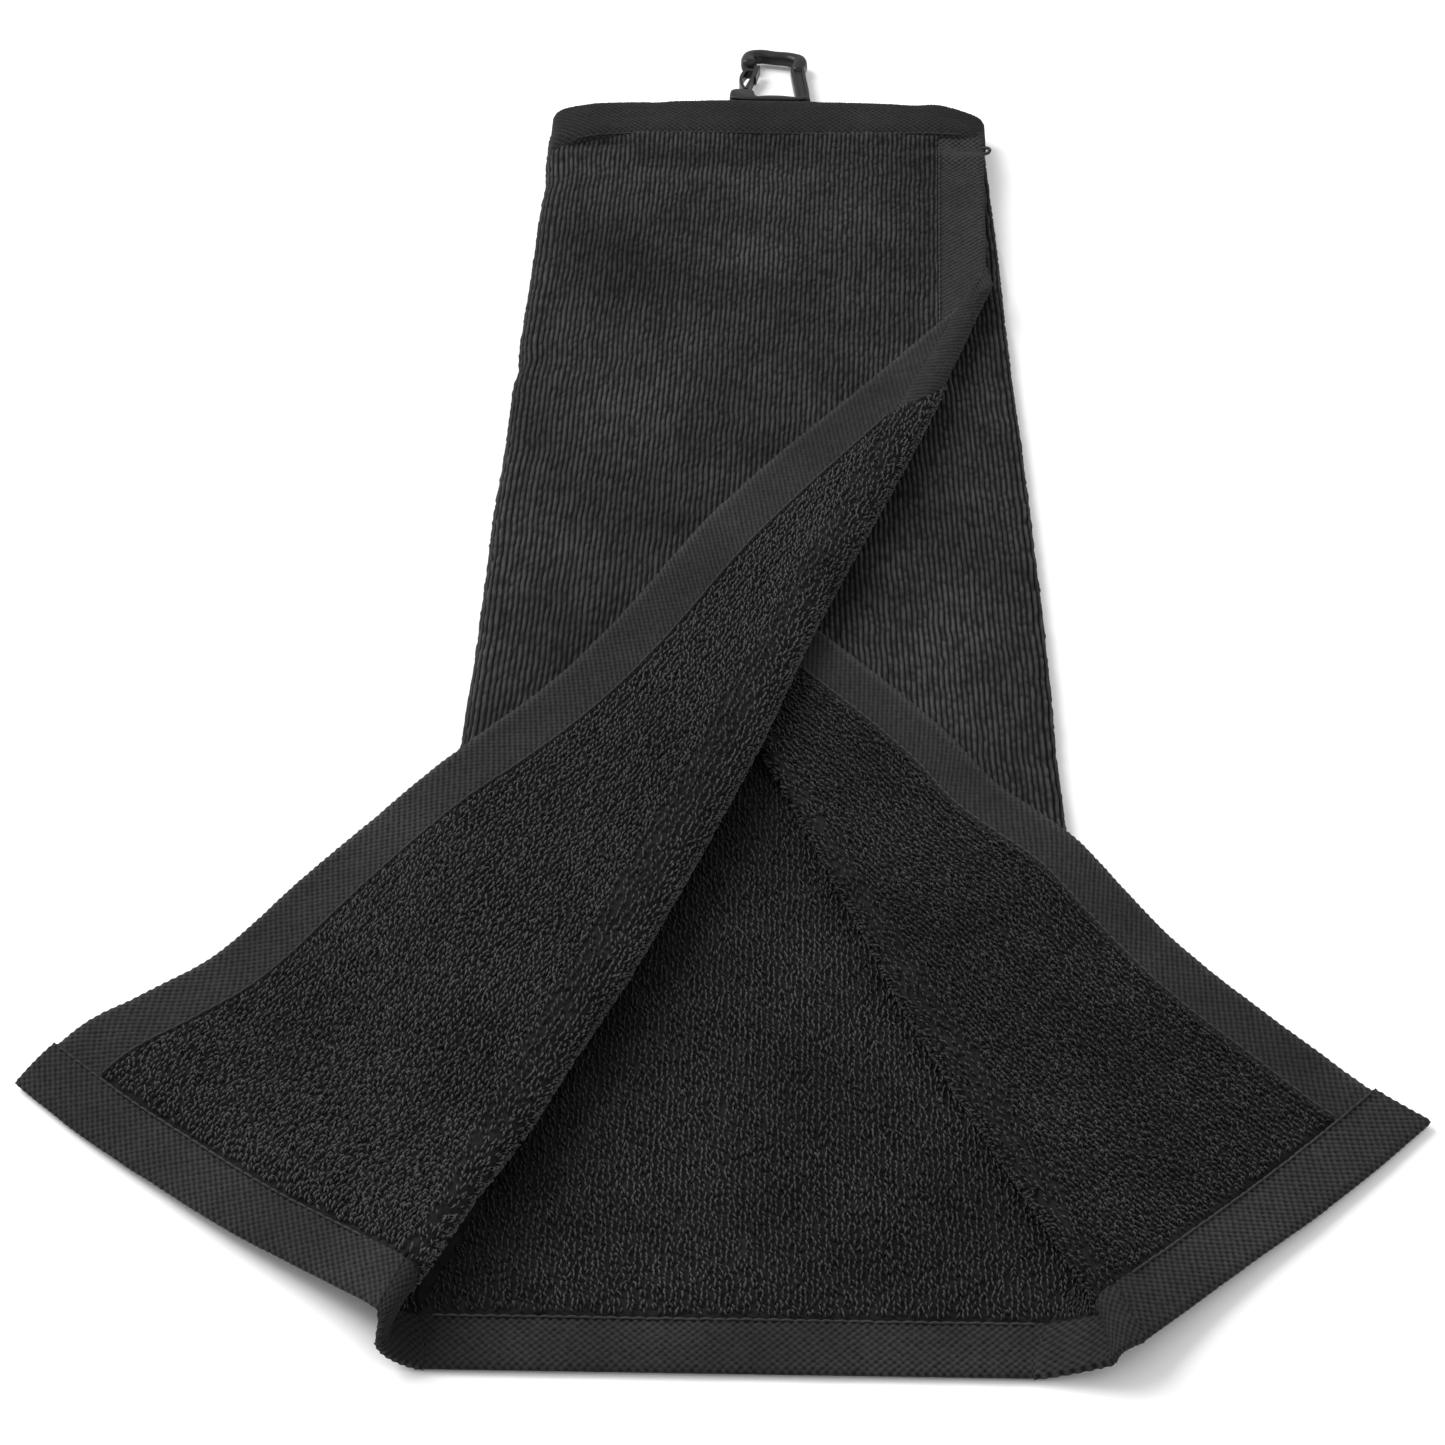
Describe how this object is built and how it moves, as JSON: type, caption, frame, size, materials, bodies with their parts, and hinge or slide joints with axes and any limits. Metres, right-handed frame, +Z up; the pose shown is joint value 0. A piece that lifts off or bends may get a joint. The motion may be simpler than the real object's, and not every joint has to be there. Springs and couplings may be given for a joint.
{
  "type": "golf towel",
  "caption": "Tri-fold cotton golf towel lying flat with both flaps turned back, ribbed outside, terry inside, woven hems and a plastic snap hook.",
  "frame": {"origin": "centre of the centre panel's underside, on the surface the towel lies on", "axes": "+Y along the towel towards the hook, +Z up out of the surface, +X to the right seen from the bottom hem"},
  "size_m": [0.336, 0.5776, 0.0152],
  "materials": {
    "towelling": "charcoal black cotton, velour cords outside and terry loops inside",
    "woven_hem": "plain-woven cotton tape, fine basket pattern",
    "thread": "twisted polyester sewing thread",
    "webbing": "ribbed polyester webbing",
    "hook_plastic": "moulded acetal, satin",
    "pin_steel": "blackened steel pin"
  },
  "bodies": {
    "towel": {"centre_panel": "towelling", "left_fold": "towelling", "right_fold": "towelling", "left_flap": "towelling", "left_roll": "towelling", "right_flap": "towelling", "right_roll": "towelling", "right_flap_tuck": "towelling", "bottom_hem": "woven_hem", "top_hem": "woven_hem", "left_side_hem": "woven_hem", "right_side_hem": "woven_hem", "right_tuck_hem": "woven_hem", "top_hem_stitching": "thread", "through_stitching": "thread", "bottom_hem_stitching": "thread", "left_side_stitching": "thread", "loop_stitching": "thread", "hanging_loop": "webbing"},
    "left_lapel": {"left_lapel": "towelling", "left_lapel_side_hem": "woven_hem", "left_lapel_bottom_hem": "woven_hem", "left_lapel_side_stitching": "thread", "left_lapel_bottom_stitching": "thread"},
    "right_lapel": {"right_lapel": "towelling", "right_lapel_side_hem": "woven_hem", "right_lapel_bottom_hem": "woven_hem", "right_lapel_side_stitching": "thread", "right_lapel_bottom_stitching": "thread"},
    "hook": {"hook_frame": "hook_plastic", "gate_pin": "pin_steel"},
    "gate": {"hook_gate": "hook_plastic"}
  },
  "joints": [
    {"name": "left_flap_turn", "type": "hinge", "parent": "towel", "child": "left_lapel", "pos_m": [-0.079, -0.2665, 0.01125], "axis": [0.3262, 0.9453, 0], "range_deg": [0, 168], "deforming": ["left_roll"]},
    {"name": "right_flap_lift", "type": "hinge", "parent": "towel", "child": "right_lapel", "pos_m": [0.088, -0.2665, 0.005], "axis": [0.3756, -0.9268, 0], "range_deg": [0, 12], "deforming": ["right_roll"]},
    {"name": "hook_swing", "type": "hinge", "parent": "towel", "child": "hook", "pos_m": [0, 0.2715, 0.0029], "axis": [1, 0, 0], "range_deg": [0, 105]},
    {"name": "gate_open", "type": "hinge", "parent": "hook", "child": "gate", "pos_m": [-0.0078, 0.2819, 0.0029], "axis": [0, 0, -1], "range_deg": [0, 28], "stiffness_Nm_per_rad": 0.002}
  ]
}
